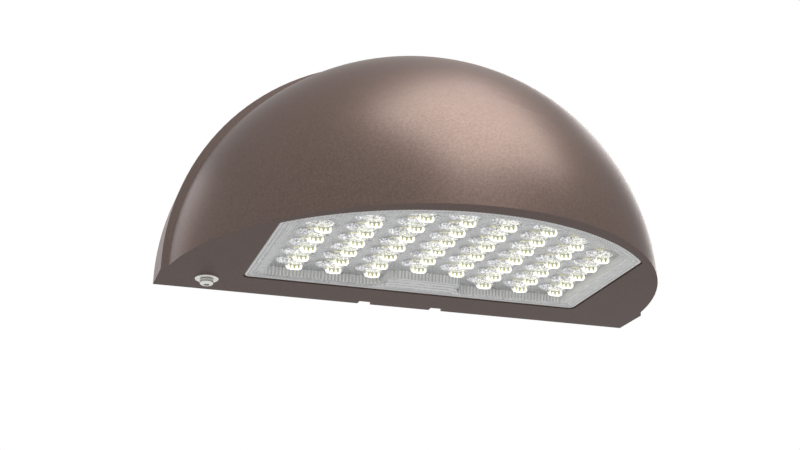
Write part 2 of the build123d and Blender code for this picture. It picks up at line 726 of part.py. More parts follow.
def surge_protector():
    _, _, back, front = driver_span()
    width, depth, height = SURGE_SIZE
    middle = (back + front) / 2
    x0, x1 = SURGE_X - width / 2, SURGE_X + width / 2
    body = block(x0, x1, middle - depth / 2, middle + depth / 2, TRAY_TOP, TRAY_TOP + height)
    body = fillet(body.edges().filter_by(Axis.Z), SURGE_CORNER)
    half, ear_top = depth / 2 + SURGE_EAR, TRAY_TOP + SURGE_EAR_THICK
    x0, x1 = x0 + SURGE_EAR_INSET, x1 - SURGE_EAR_INSET
    body += block(x0, x1, middle - half, middle + half, TRAY_TOP, ear_top)
    for x, y in surge_screw_places():
        body -= upright(M3_RADIUS + SCREW_FIT, x, y, TRAY_TOP - 1, ear_top + 1)
    return body


def terminal_block():
    """Push-in terminal block for the supply wires, its ways open to the wall side."""
    width, depth, height = TERMINAL_SIZE
    x0, x1 = TERMINAL_X - width / 2, TERMINAL_X + width / 2
    back, front = y_at(TERMINAL_BACK), y_at(TERMINAL_BACK + depth)
    top = TRAY_TOP + height
    body = block(x0 + TERMINAL_FOOT, x1 - TERMINAL_FOOT, back, front, TRAY_TOP, top)
    body += block(x0, x1, back, front, TRAY_TOP, TRAY_TOP + TERMINAL_FOOT_HEIGHT)
    pitch = (width - 2 * TERMINAL_FOOT) / TERMINAL_WAYS
    for n in range(TERMINAL_WAYS):
        x = x0 + TERMINAL_FOOT + pitch * (n + 0.5)
        mouth = Rot(90, 0, 0) * Cylinder(TERMINAL_MOUTH, depth)
        body -= Pos(x, back, TRAY_TOP + height / 2) * mouth
        body -= upright(TERMINAL_MOUTH, x, (back + front) / 2, top - TERMINAL_PROBE, top + 1)
    for x, y in terminal_screw_places():
        body -= upright(M3_RADIUS + SCREW_FIT, x, y, TRAY_TOP - 1, top)
    return body


def breather_vent():
    """Screw-in vent that lets the sealed light engine breathe."""
    y = y_at(VENT_BACK)
    cap = upright(VENT_RADIUS, VENT_X, y, TRAY_TOP, TRAY_TOP + VENT_CAP)
    stem = upright(VENT_STEM, VENT_X, y, TRAY_BOTTOM, TRAY_TOP)
    return fillet(cap.edges().group_by(Axis.Z)[-1], VENT_EDGE) + stem


def grommets():
    rings = []
    for side in (-1, 1):
        x, y = side * CONNECTOR_X, y_at(GROMMET_BACK)
        ring = upright(GROMMET_RADIUS, x, y, TRAY_BOTTOM, TRAY_TOP)
        ring += upright(GROMMET_RADIUS + GROMMET_LIP, x, y, TRAY_TOP, TRAY_TOP + GROMMET_LIP_THICK)
        hole = upright(WIRE_RADIUS + WIRE_SLACK, x, y, TRAY_BOTTOM - 1, TRAY_TOP + 2)
        rings.append(ring - hole)
    return rings


def wire(points, bend=WIRE_BEND):
    """A round wire along straight runs joined by tangent arcs."""
    route = FilletPolyline(*points, radius=bend)
    start = Plane(origin=route @ 0, z_dir=route % 0)
    return sweep(start * Circle(WIRE_RADIUS), path=route)


def led_leads():
    """Each board's lead: out of the driver's end, through a grommet, into the board's connector."""
    _, right, back, front = driver_span()
    middle = (back + front) / 2
    plug_z = BOARD_FACE - CONNECTOR_SIZE[2] / 2
    leads = []
    for side, rise, lane, turn in zip((-1, 1), DRIVER_WIRES, WIRE_LANES, (0, 1)):
        x, z = side * CONNECTOR_X, DRIVER_Z + rise
        out = right + WIRE_LOOP + turn * WIRE_STAGGER
        drop = wire([
            (x, y_at(GROMMET_BACK), z - WIRE_BEND),
            (x, y_at(GROMMET_BACK), plug_z),
            (x, y_at(CONNECTOR_BACK), plug_z),
        ], WIRE_BEND / 2)
        run = wire([
            (right - END_PLATE, middle, z),
            (out, middle, z),
            (out, y_at(lane), z),
            (x, y_at(lane), z),
            (x, y_at(GROMMET_BACK), z),
            (x, y_at(GROMMET_BACK), z - WIRE_BEND),
        ], WIRE_RUN_BEND)
        leads.append(run + drop)
    return leads


def supply_leads():
    """From the terminal block along the driver to the surge protector, and on into the driver."""
    left, _, back, front = driver_span()
    middle = (back + front) / 2
    surge_back = middle + SURGE_SIZE[1] / 2
    surge_side = SURGE_X + SURGE_SIZE[0] / 2
    z = TRAY_TOP + SUPPLY_RISE
    start_y = y_at(TERMINAL_BACK + TERMINAL_SIZE[1])
    pitch = (TERMINAL_SIZE[0] - 2 * TERMINAL_FOOT) / TERMINAL_WAYS
    leads = []
    for side, lane in zip((-1, 1), WIRE_LANES):
        start_x = TERMINAL_X + side * pitch / 2
        end_x = SURGE_X + side * WIRE_BEND
        leads.append(
            wire([
                (start_x, start_y, z),
                (start_x, y_at(lane), z),
                (end_x, y_at(lane), z),
                (end_x, surge_back, z),
            ])
        )
    for rise in DRIVER_WIRES:
        gap = left + END_PLATE - surge_side
        link = Rot(0, 90, 0) * Cylinder(WIRE_RADIUS, gap)
        leads.append(Pos(surge_side + gap / 2, middle, DRIVER_Z + rise) * link)
    return leads


# ---- Wall plate and hinge ----
def hooks():
    """Two J hooks that the housing's rod drops into."""
    inner = ROD_RADIUS + SHAFT_FIT
    outer = inner + HOOK_WALL
    pieces = []
    for side in (-1, 1):
        x0, x1 = side * HOOK_X - HOOK_WIDTH / 2, side * HOOK_X + HOOK_WIDTH / 2
        place = Pos(side * HOOK_X, -ROD_OUT, ROD_Z) * Rot(0, 90, 0)
        arm = block(x0, x1, -PLATE_THICK / 2, -ROD_OUT - outer, HOOK_ARM_TOP - HOOK_ARM, HOOK_ARM_TOP)
        stem = block(x0, x1, -ROD_OUT + outer, -ROD_OUT - outer, HOOK_ARM_TOP - 1, ROD_Z)
        cradle = place * Cylinder(outer, HOOK_WIDTH)
        hook = (arm + stem + cradle) - place * Cylinder(inner, HOOK_WIDTH + 2)
        hook -= block(x0 - 1, x1 + 1, 0, -2 * ROD_OUT, ROD_Z, ROD_Z + 2 * outer)
        pieces.append(hook)
    return pieces


def clamp_tab():
    """Forward tab with an open slot that the clamp screw swings into."""
    front = SCREW_Y - TAB_PAST_SCREW
    tab = block(
        SCREW_X - TAB_WIDTH / 2, SCREW_X + TAB_WIDTH / 2, -PLATE_THICK / 2, front, TAB_BOTTOM, TAB_TOP
    )
    half = TAB_SLOT_WIDTH / 2
    slot = block(SCREW_X - half, SCREW_X + half, SCREW_Y, front - 1, TAB_BOTTOM - 1, TAB_TOP + 1)
    return tab - slot - upright(half, SCREW_X, SCREW_Y, TAB_BOTTOM - 1, TAB_TOP + 1)


def wall_plate():
    disc = along_wall(PLATE_RADIUS, 0, 0, 0, PLATE_THICK)
    reach = 2 * PLATE_THICK
    plate = disc & block(-PLATE_RADIUS, PLATE_RADIUS, reach, -reach, PLATE_BOTTOM, PLATE_RADIUS)
    back, front = -1, PLATE_THICK + 1
    plate -= along_wall(WIRE_HOLE_RADIUS, 0, MOUNT_HEIGHT, back, front)
    ring = along_wall(WALL_GASKET_RADIUS + WALL_GASKET_WIDTH / 2, 0, MOUNT_HEIGHT, back,
                      WALL_GASKET_DEPTH)
    ring -= along_wall(WALL_GASKET_RADIUS - WALL_GASKET_WIDTH / 2, 0, MOUNT_HEIGHT, back,
                       WALL_GASKET_DEPTH)
    plate -= ring
    for side in (-1, 1):
        slot = Plane(origin=(side * BOX_HOLE_SPACING / 2, 1, MOUNT_HEIGHT), x_dir=(1, 0, 0),
                     z_dir=(0, -1, 0)) * SlotOverall(BOX_SLOT_LENGTH, BOX_SLOT_WIDTH)
        plate -= extrude(slot, PLATE_THICK + 2)
        for row in (0, ANCHOR_SPACING_Z):
            plate -= along_wall(ANCHOR_RADIUS, side * ANCHOR_SPACING_X / 2, ANCHOR_BOTTOM + row,
                                back, front)
    plate -= along_wall(M4_RADIUS, GROUND_X, GROUND_Z, back, front)
    for piece in hooks():
        plate += piece
    return plate + clamp_tab()


def wall_gasket():
    """Foam ring in the back of the wall plate, round the junction box."""
    middle, half = WALL_GASKET_RADIUS, WALL_GASKET_WIDTH / 2
    ring = along_wall(middle + half, 0, MOUNT_HEIGHT, 0, WALL_GASKET_DEPTH)
    return ring - along_wall(middle - half, 0, MOUNT_HEIGHT, 0, WALL_GASKET_DEPTH)


def ground_screw():
    """Hex-head earth screw in the wall plate."""
    shank = along_wall(M4_RADIUS, GROUND_X, GROUND_Z, GROUND_SHORT, PLATE_THICK)
    face = Plane(origin=(GROUND_X, -PLATE_THICK, GROUND_Z), z_dir=(0, -1, 0))
    head = face * RegularPolygon(GROUND_HEAD_RADIUS, 6)
    return shank + extrude(head, GROUND_HEAD_HEIGHT)


def hinge_rod():
    rod = Cylinder(ROD_RADIUS, ROD_LENGTH)
    rod = chamfer(rod.edges(), ROD_CHAMFER)
    return Pos(0, -ROD_OUT, ROD_Z) * Rot(0, 90, 0) * rod


# ---- Clamp screw ----
def captive_screw():
    seat = -WASHER_THICK - AIR
    shank = upright(SCREW_RADIUS, SCREW_X, SCREW_Y, seat, SCREW_TIP)
    head = upright(SCREW_HEAD_RADIUS, SCREW_X, SCREW_Y, seat - SCREW_HEAD_HEIGHT, seat)
    head = fillet(head.edges().group_by(Axis.Z)[0], SCREW_HEAD_EDGE)
    socket = Plane(origin=(SCREW_X, SCREW_Y, seat - SCREW_HEAD_HEIGHT)) * RegularPolygon(
        SCREW_SOCKET / 2, 6, major_radius=False
    )
    return shank + head - extrude(socket, SCREW_SOCKET_DEPTH)


def screw_washer():
    ring = upright(WASHER_RADIUS, SCREW_X, SCREW_Y, -WASHER_THICK, 0)
    ring = chamfer(ring.edges().group_by(Axis.Z)[0], WASHER_CHAMFER)
    return ring - upright(SCREW_RADIUS + AIR, SCREW_X, SCREW_Y, -WASHER_THICK - 1, 1)


def retaining_ring():
    """Ring in a groove near the tip that keeps the screw in its nut."""
    low = SCREW_TIP - RING_BELOW_TIP
    ring = upright(RING_RADIUS, SCREW_X, SCREW_Y, low, low + RING_THICK)
    return ring - upright(SCREW_RADIUS, SCREW_X, SCREW_Y, low - 1, SCREW_TIP)


def clamp_nut():
    low = TAB_TOP + AIR
    half = NUT_SIDE / 2
    nut = block(SCREW_X - half, SCREW_X + half, SCREW_Y - half, SCREW_Y + half, low, low + NUT_THICK)
    nut = chamfer(nut.edges().group_by(Axis.Z)[0], NUT_CHAMFER)
    return nut - upright(SCREW_RADIUS + SHAFT_FIT, SCREW_X, SCREW_Y, low - 1, low + NUT_THICK + 1)


def save(name, shape):
    """Write one node, with the origin moved to the junction box centre."""
    solids = shape if isinstance(shape, list) else [shape]
    moved = [Pos(0, 0, -MOUNT_HEIGHT) * solid for solid in solids]
    whole = moved[0] if len(moved) == 1 else Compound(children=moved)
    export_step(whole, f"parts/{name}.step")


NODES = {
    "housing": housing,
    "lens": lens,
    "window_gasket": window_gasket,
    "lens_seal": lens_seal,
    "led_tray": tray,
    "led_board_left": lambda: drilled_sheet(-1, BOARD_FACE, BOARD_TOP, M3_RADIUS + SCREW_FIT),
    "led_board_right": lambda: drilled_sheet(1, BOARD_FACE, BOARD_TOP, M3_RADIUS + SCREW_FIT),
    "thermal_pad_left": lambda: drilled_sheet(-1, BOARD_TOP, TRAY_BOTTOM, PAD_HOLE_RADIUS),
    "thermal_pad_right": lambda: drilled_sheet(1, BOARD_TOP, TRAY_BOTTOM, PAD_HOLE_RADIUS),
    "leds_left": lambda: leds(-1),
    "leds_right": lambda: leds(1),
    "board_screws": board_screws,
    "board_connectors": board_connectors,
    "lens_screws": lambda: top_screws(lens_posts(), M3_RADIUS, LONG_SCREW, TRAY_TOP),
    "tray_screws": lambda: top_screws(tray_screw_places(), M4_RADIUS, LONG_SCREW, TRAY_TOP),
    "driver_case": driver_case,
    "driver_end_plates": driver_ends,
    "driver_brackets": driver_brackets,
    "driver_screws": lambda: top_screws(
        bracket_screw_places(), M3_RADIUS, BRACKET_THICK + TRAY_THICK, TRAY_TOP + BRACKET_THICK
    ),
    "surge_protector": surge_protector,
    "surge_screws": lambda: top_screws(
        surge_screw_places(), M3_RADIUS, SURGE_EAR_THICK + TRAY_THICK, TRAY_TOP + SURGE_EAR_THICK
    ),
    "terminal_block": terminal_block,
    "terminal_screws": lambda: top_screws(
        terminal_screw_places(),
        M3_RADIUS,
        TERMINAL_FOOT_HEIGHT + TRAY_THICK,
        TRAY_TOP + TERMINAL_FOOT_HEIGHT,
    ),
    "breather_vent": breather_vent,
    "lead_grommets": grommets,
    "led_leads": led_leads,
    "supply_leads": supply_leads,
    "wall_plate": wall_plate,
    "wall_gasket": wall_gasket,
    "ground_screw": ground_screw,
    "hinge_rod": hinge_rod,
    "captive_screw": captive_screw,
    "screw_washer": screw_washer,
    "retaining_ring": retaining_ring,
    "clamp_nut": clamp_nut,
}

os.makedirs("parts", exist_ok=True)
for node, make in NODES.items():
    save(node, make())
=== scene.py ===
"""Half-dome wall pack light: finishes, the moulded clear lens, the studio and the camera."""

from math import atan2, cos, pi, radians, sin, sqrt

import bmesh
import bpy
from mathutils import Matrix, Vector


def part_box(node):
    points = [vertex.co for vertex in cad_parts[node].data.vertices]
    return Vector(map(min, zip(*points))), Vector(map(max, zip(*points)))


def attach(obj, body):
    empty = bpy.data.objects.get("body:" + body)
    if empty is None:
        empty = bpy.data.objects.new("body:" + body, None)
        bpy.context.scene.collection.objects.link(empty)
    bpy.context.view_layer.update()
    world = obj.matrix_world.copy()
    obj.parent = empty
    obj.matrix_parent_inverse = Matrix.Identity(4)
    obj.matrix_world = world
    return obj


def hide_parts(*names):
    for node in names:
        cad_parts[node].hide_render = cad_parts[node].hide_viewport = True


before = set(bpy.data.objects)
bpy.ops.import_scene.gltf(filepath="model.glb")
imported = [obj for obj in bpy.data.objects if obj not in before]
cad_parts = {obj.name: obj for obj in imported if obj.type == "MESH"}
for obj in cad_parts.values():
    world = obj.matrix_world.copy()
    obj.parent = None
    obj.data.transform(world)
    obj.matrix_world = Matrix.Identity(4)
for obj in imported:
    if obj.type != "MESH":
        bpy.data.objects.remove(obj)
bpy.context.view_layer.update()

MM = 0.001
HOUSING_LOW, HOUSING_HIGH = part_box("housing")
BOTTOM = HOUSING_LOW[2]    # flat bottom face
REAR = HOUSING_HIGH[1]     # rear edge of the housing

# ---- Clear lens, millimetres: heights above the bottom face, depths in front of the rear edge ----
LENS_HALF_WIDTH = 130.6
LENS_BACK = 35.5
LENS_ARC_RADIUS = 179.6
LENS_ARC_CENTRE = 25.6
LENS_CORNER = 4.0
LEAST_CORNER = 0.5         # of the outline moved inwards
LENS_FACE = 1.2            # flat border
LENS_WALL_TOP = 12.0
LENS_SKIN = 2.4
EDGE_BREAK = 0.3           # where the face turns into a wall
BORDER_SIDE = 12.6
BORDER_BACK = 7.6
BORDER_FRONT = 9.0
FIELD_CORNER = 5.0
FIELD_FACE = 7.6           # sunken field that carries the optics
FIELD_DRAFT = 0.8
FIELD_BREAK = 0.4          # where its walls turn into the field
BEAD_WIDTH = 1.5
BEAD_PROUD = 0.5
BEAD_PROFILE = ((0.15, 0.7), (0.5, 1.0), (0.85, 0.7), (1.0, 0.0))    # shares of its width and height
GROOVES = ((2.3, 1.4), (5.0, 1.2))    # in from the outline, and width
GROOVE_DEPTH = 0.5
STEP_HALF_WIDTH = 28.0
STEP_DEPTH = 19.0
STEP_ELBOW = 5.0
STEP_WALL = 1.0            # a wall this far in front of the rear wall is the step's
FLUTE_PITCH = 2.65
FLUTE_DEPTH = 0.9
FLUTE_POINTS = 6
POST_SPREAD = 61.5
POST_PLAIN = 5.0           # plain wall each side of a screw post
CORNER_POINTS = 7
ELBOW_POINTS = 8
SIDE_POINTS = 10
NOSE_POINTS = 90
COVER_CREASE = 32.0        # edges turned by more degrees than this stay sharp

# ---- Optics: domes over the LEDs, each with a curved prism on its wall side ----
OPTIC_PITCH_X = 29.3
OPTIC_PITCH_Y = 19.6
FIRST_ROW = 61.0
COLUMN_ROWS = {0.5: range(1, 7), 1.5: range(0, 7), 2.5: range(0, 6), 3.5: range(0, 5)}
OPTIC_SUNK = 0.02          # into the field
OPTIC_HALF_WIDTH = 10.8
OPTIC_HALF_DEPTH = 6.2
OPTIC_HEIGHT = 3.4
OPTIC_FLUTES = 22          # fine ribs round the dome
OPTIC_FLUTE_DEPTH = 0.22
OPTIC_SADDLE = 0.25        # how far the middle dips between the two lobes
OPTIC_WAIST = 4.0          # half the width of that dip
OPTIC_RINGS = 9
OPTIC_SIDES = 88
OPTIC_CREASE = 40.0
PRISM_RADIUS = 7.6
PRISM_FORWARD = 1.6        # centre of its curve in front of the LED
PRISM_ASIDE = 4.0          # its lit face, to the right of the LED as the photograph shows it
PRISM_HEIGHT = 5.0
PRISM_TOP = 0.8
PRISM_FOOT = 3.4
PRISM_SPREAD = 62.0        # its reach each way round the LED, degrees
PRISM_STEPS = 36
PRISM_TAPER = 1.6          # the larger it is, the shorter the ends that run down

# ---- Finishes: a grain is a noise's scale, so the larger the finer ----
WHITE = (1.0, 1.0, 1.0)
BLACK = (0.0, 0.0, 0.0)
PLASTIC_IOR = 1.49
POLISH_GRAIN = 400.0

BRONZE_DARK = (0.095, 0.064, 0.052)
BRONZE_LIGHT = (0.175, 0.122, 0.102)
BRONZE_TINT = (0.24, 0.19, 0.17, 1.0)
BRONZE_ROUGHNESS = 0.37
FLAKE_GRAIN, FLAKE_SHARE = 2600.0, 1.6
SPECKLE_GRAIN, SPECKLE_SHARE = 650.0, 1.2
CLOUD_GRAIN, CLOUD_SHARE = 22.0, 0.2
FLAKE_DULLING = 0.2        # change of roughness from flake to flake
PEEL_GRAIN, PEEL_DEPTH = 1500.0, 0.00006

STREAK_GREY = (0.78, 0.79, 0.82)
STREAK_GRAIN = 430.0
COVER_POLISH, COVER_DULLING = 0.015, 0.03
COVER_RIPPLE_GRAIN, COVER_RIPPLE_DEPTH = 350.0, 0.0003
# The frosting glows faintly white: a painted glow, standing in for light through the lens.
FROSTED_GLOWING = {
    "Roughness": 0.4, "Transmission Weight": 0.3, "IOR": PLASTIC_IOR,
    "Emission Color": (1.0, 1.0, 0.97, 1.0), "Emission Strength": 0.12,
}
WALL_START = LENS_FACE + EDGE_BREAK / 2
FROST_SHARES = (           # from a height, as a share of the wall's, and how much of the look is the glowing frosting
    (0.0, 0.7),
    ((LENS_FACE + EDGE_BREAK) / LENS_WALL_TOP, 0.75),
    ((FIELD_FACE - EDGE_BREAK) / LENS_WALL_TOP, 0.2),
)
BORDER_PALE = (0.97, 0.97, 0.98)
BORDER_LINE = (0.46, 0.47, 0.5)
BORDER_LINE_PITCH = 1.7    # fine lines that run round the border
WORN_GRAIN, WORN_SHARE = 240.0, 0.6    # breaks in those lines
BEAD_HIGHLIGHT_END = BEAD_WIDTH + 0.4    # its painted highlight, a white line along the bead
BEAD_SHADE_END = BEAD_WIDTH + 1.6    # the darker line beside it
BEAD_SHADE = 0.25
# Painted shade between the flutes; their crests are painted white as highlights.
RIB_SHADE = (0.52, 0.53, 0.57)

# Painted grey shade and white highlight patches on the domes, and painted glints that glow.
PAINTED_FACET_SHADE = (0.42, 0.43, 0.46)
PAINTED_FACET_GRAIN = 560.0
GLINT_GRAIN = 620.0
OPTIC_GLINT = 0.32
OPTIC_POLISH, OPTIC_DULLING = 0.01, 0.02
OPTIC_RIPPLE_GRAIN, OPTIC_RIPPLE_DEPTH = 620.0, 0.0009

PHOSPHOR_DEEP, PHOSPHOR_PALE = (0.86, 0.74, 0.2), (0.94, 0.86, 0.4)
LED_GLOW = 0.9
LED_GLOW_DEEP, LED_GLOW_PALE = (0.95, 0.86, 0.35), (1.0, 0.96, 0.6)
PHOSPHOR_GRAIN = 1500.0

PRISM_LIT_SPAN = 0.74      # share of its length that is lit, each side of its middle
PRISM_LIT_RISE = 0.84      # share of its height below the lit band
PRISM_TOOTH = 0.37         # pitch of the band's teeth, its half length being 1
PRISM_TOOTH_RISE = 0.45
PRISM_BAND_CURVE = 0.25    # how far the band spreads down at its ends
PRISM_COMB_RISE = 0.3      # share of its height below the olive comb of painted reflection
PRISM_GLOW = 1.0
# Painted reflection of the LEDs: the band glows white and the comb glows olive.
PRISM_LIT, PRISM_UNLIT = (1.0, 1.0, 0.93), (0.03, 0.03, 0.035)
COMB_GLOW, COMB_REFLECTION_OLIVE = (0.14, 0.14, 0.05), (0.6, 0.6, 0.42)
# Sparks of painted glints and painted grey shade on the prisms.
PRISM_SPARK_GRAIN = 1000.0
PRISM_SPARK_SHADE, PRISM_SPARK_GLINT = (0.5, 0.51, 0.54), (0.97, 0.97, 0.98)

METAL_GRAIN, METAL_DEPTH = 900.0, 0.00002
METAL_SHADE = 0.8          # its darker streaks
METAL_DULLING = 0.2
METALS = {                 # colour, roughness
    "zinc": ((0.66, 0.66, 0.64), 0.34),
    "stainless": ((0.86, 0.85, 0.82), 0.42),
}

MOULDED_GRAIN, MOULDED_DEPTH = 1800.0, 0.00003
MOULDED_CLOUDS = 60.0
MOULDED_LIGHTER, MOULDED_LIFT = 1.12, 0.01
MOULDED_DULLING = 0.15
MOULDINGS = {              # colour, roughness, and a grain and depth of its own
    "black_foam": ((0.03, 0.03, 0.032), 0.9, 900.0, 0.0002),
    "white_silicone": ((0.68, 0.68, 0.66), 0.55),
    "white_enamel": ((0.84, 0.84, 0.83), 0.35),
    "white_board": ((0.82, 0.83, 0.82), 0.35, 700.0),
    "grey_pad": ((0.32, 0.36, 0.40), 0.8),
    "green_screw": ((0.02, 0.22, 0.07), 0.4),
    "white_case": ((0.76, 0.76, 0.75), 0.45),
    "black_plastic": ((0.03, 0.03, 0.03), 0.5),
    "white_plastic": ((0.78, 0.78, 0.74), 0.45),
    "red_wire": ((0.45, 0.03, 0.02), 0.45),
    "black_wire": ((0.02, 0.02, 0.02), 0.45),
    "pale_floor": ((0.72, 0.72, 0.71), 0.8, 60.0, 0.0002),
}

NODE_FINISH = {
    "bronze_paint": ["housing", "wall_plate"],
    "clear_plastic": ["lens"],
    "black_foam": ["window_gasket", "wall_gasket"],
    "white_silicone": ["lens_seal", "lead_grommets"],
    "white_enamel": ["led_tray"],
    "white_board": ["led_board_left", "led_board_right"],
    "grey_pad": ["thermal_pad_left", "thermal_pad_right"],
    "phosphor": ["leds_left", "leds_right"],
    "zinc": [
        "board_screws", "lens_screws", "tray_screws", "driver_screws", "surge_screws",
        "terminal_screws", "driver_brackets", "clamp_nut",
    ],
    "stainless": ["hinge_rod", "captive_screw", "screw_washer", "retaining_ring"],
    "green_screw": ["ground_screw"],
    "white_case": ["driver_case"],
    "black_plastic": ["driver_end_plates", "surge_protector", "breather_vent"],
    "white_plastic": ["board_connectors", "terminal_block"],
    "red_wire": ["led_leads"],
    "black_wire": ["supply_leads"],
}

# ---- Photograph: the camera that was recovered from it ----
CAMERA_PLACE = (-0.3128, -0.9320, -0.4034)
CAMERA_YAW = 18.658        # looking to the right of the wall's normal, degrees
CAMERA_PITCH = 21.018      # looking up
CAMERA_ROLL = -0.394
FOCAL_PIXELS = 1322.0
PHOTO_WIDTH = 800
SENSOR_WIDTH = 36.0        # the camera's own, millimetres

# ---- Studio ----
AMBIENT = 0.25             # world light on the part; it is plain white where it is seen
FLOOR_HEIGHT = -1.8
FLOOR_SIZE = 80.0
FLOOR_PALE = 0.65          # share of plain white that the camera sees in the floor
LIT_SPOT = (0.0, -0.1, 0.0)
SOFTBOXES = (              # watts, width, place
    ("key", 20.0, 1.2, (0.25, -0.5, 1.05)),
    ("fill", 3.0, 1.2, (0.3, -1.8, 0.7)),
    ("edge_left", 1.9, 0.6, (-0.7, 1.0, 0.45)),
    ("edge_right", 3.5, 0.6, (0.85, 0.9, 0.6)),
)


def place(x, depth, z):
    """A point of the frame, from millimetres across, in front of the rear edge and up."""
    return Vector((x * MM, REAR - depth * MM, BOTTOM + z * MM))


# ---- Shader expressions ----
class Sock:
    """An output socket that takes part in Python arithmetic."""

    def __init__(self, tree, socket):
        self.tree, self.socket = tree, socket

    def math(self, operation, *others):
        return self.tree.node(
            "ShaderNodeMath", {"operation": operation}, {n: v for n, v in enumerate((self, *others))}
        )

    def __add__(self, other):
        return self.math("ADD", other)

    def __mul__(self, other):
        return self.math("MULTIPLY", other)

    def __sub__(self, other):
        return self.math("SUBTRACT", other)

    def __rsub__(self, other):
        return self.tree.node("ShaderNodeMath", {"operation": "SUBTRACT"}, {0: other, 1: self})

    __radd__ = __add__
    __rmul__ = __mul__


class Tree:
    """A shader's node tree, of a material or of the world."""

    def __init__(self, owner):
        owner.use_nodes = True
        self.nodes, self.links = owner.node_tree.nodes, owner.node_tree.links

    def node(self, kind, settings, inputs, output=0):
        made = self.nodes.new(kind)
        for key, value in settings.items():
            if key == "stops":
                self.fill_ramp(made.color_ramp, value)
            else:
                setattr(made, key, value)
        for key, value in inputs.items():
            self.put(made.inputs[key], value)
        return Sock(self, made.outputs[output])

    @staticmethod
    def fill_ramp(ramp, stops):
        """Flat steps of colour, each from its stop to the next."""
        ramp.interpolation = "CONSTANT"
        while len(ramp.elements) < len(stops):
            ramp.elements.new(0.5)
        for element, (position, colour) in zip(ramp.elements, stops):
            element.position = position
            element.color = (*colour, 1.0)

    def put(self, socket, value):
        if isinstance(value, Sock):
            self.links.new(value.socket, socket)
        else:
            socket.default_value = value

    def seen_by(self, *kinds):
        """1 for rays of any of these kinds, else 0."""
        ray = self.nodes.new("ShaderNodeLightPath")
        seen = Sock(self, ray.outputs[kinds[0]])
        for kind in kinds[1:]:
            seen = seen.math("MAXIMUM", Sock(self, ray.outputs[kind]))
        return seen

    def blend(self, share, first, second):
        """The surface: the second shader by its share, and the first by the rest."""
        mixed = self.nodes.new("ShaderNodeMixShader")
        self.put(mixed.inputs["Fac"], share)
        self.links.new(first, mixed.inputs[1])
        self.links.new(second, mixed.inputs[2])
        self.links.new(mixed.outputs["Shader"], self.nodes["Material Output"].inputs["Surface"])


class Finish(Tree):
    """A material, with a Principled shader ready to fill."""

    def __init__(self, name, **constants):
        self.material = bpy.data.materials.new(name)
        super().__init__(self.material)
        self.shader = self.nodes["Principled BSDF"]
        for socket, value in constants.items():
            self.shader.inputs[socket.replace("_", " ")].default_value = value

    def set(self, name, value):
        self.put(self.shader.inputs[name], value)

    def where(self):
        return self.node("ShaderNodeTexCoord", {}, {}, "Object")

    def axis(self, letter):
        return self.node("ShaderNodeSeparateXYZ", {}, {"Vector": self.where()}, letter)

    def noise(self, grain, detail=3.0, roughness=0.5):
        inputs = {"Vector": self.where(), "Scale": grain, "Detail": detail, "Roughness": roughness}
        return self.node("ShaderNodeTexNoise", {}, inputs, "Fac")

    def mix(self, factor, first, second):
        first, second = (c if isinstance(c, Sock) else (*c, 1.0) for c in (first, second))
        return self.node("ShaderNodeMix", {"data_type": "RGBA"}, {0: factor, 6: first, 7: second}, 2)

    def stored(self, name):
        """A value kept on the mesh's vertices."""
        return self.node("ShaderNodeAttribute", {"attribute_name": name}, {}, "Fac")

    def waves(self, value, pitch):
        """0 to 1 and back over each pitch of the value."""
        return (value * (2 * pi / pitch)).math("SINE") * 0.5 + 0.5

    def between(self, value, low, high):
        """0 up to the low value, 1 from the high one, and even between them."""
        inputs = {"Value": value, "From Min": low, "From Max": high}
        return self.node("ShaderNodeMapRange", {}, inputs, "Result")

    def above(self, value, edge, blur):
        """0 below the edge and 1 above it."""
        return self.between(value, edge - blur, edge + blur)

    def bump(self, height, distance, strength):
        inputs = {"Height": height, "Distance": distance, "Strength": strength}
        self.set("Normal", self.node("ShaderNodeBump", {}, inputs, "Normal"))


def swing(noise):
    """A noise about its middle, so as much below 0 as above it."""
    return noise - 0.5


# ---- Finishes of the pieces ----
def bronze_paint():
    """Metallic bronze powder coat: fine orange peel with bright flakes in it."""
    finish = Finish("bronze_paint", Metallic=0.7, Coat_Weight=0.3, Coat_Roughness=0.34)
    finish.shader.inputs["Specular Tint"].default_value = BRONZE_TINT
    flakes = finish.noise(FLAKE_GRAIN, detail=2.0, roughness=0.7)
    speckle = finish.noise(SPECKLE_GRAIN, detail=2.0, roughness=0.6)
    clouds = finish.noise(CLOUD_GRAIN)
    flecks = swing(flakes) * FLAKE_SHARE + swing(speckle) * SPECKLE_SHARE + swing(clouds) * CLOUD_SHARE
    finish.set("Base Color", finish.mix(flecks + 0.5, BRONZE_DARK, BRONZE_LIGHT))
    finish.set("Roughness", swing(flakes) * FLAKE_DULLING + BRONZE_ROUGHNESS)
    finish.bump(finish.noise(PEEL_GRAIN, detail=2.0, roughness=0.6), PEEL_DEPTH, strength=0.6)
    return finish.material


def cover_pattern(finish):
    """Colour of the frosting: a white bead that is a painted highlight with painted shade beside it, a lined
    border, and flutes along the walls painted white on their crests as highlights and grey between them as
    shade.
    """
    inset = finish.stored("inset")
    lines = finish.above(finish.waves(inset, BORDER_LINE_PITCH), edge=0.35, blur=0.2)
    worn = finish.above(finish.noise(WORN_GRAIN, roughness=0.6), edge=0.5, blur=0.06)
    shade = finish.above(inset, BEAD_SHADE_END, blur=0.2) * (1 - BEAD_SHADE) + BEAD_SHADE
    flat = finish.mix((lines + worn * WORN_SHARE) * shade, BORDER_LINE, BORDER_PALE)
    # Painted highlight: the bead is white out to this inset.
    border = finish.mix(finish.above(inset, BEAD_HIGHLIGHT_END, blur=0.2), WHITE, flat)
    # Painted highlights on the flute crests, with painted shade between them.
    crest_highlights = finish.above(finish.waves(finish.axis("X"), FLUTE_PITCH * MM), edge=0.5, blur=0.2)
    painted_ribs = finish.mix(crest_highlights, RIB_SHADE, WHITE)
    on_wall = finish.above(finish.axis("Z"), BOTTOM + WALL_START * MM, blur=0.05 * MM)
    return finish.mix(on_wall, border, painted_ribs)


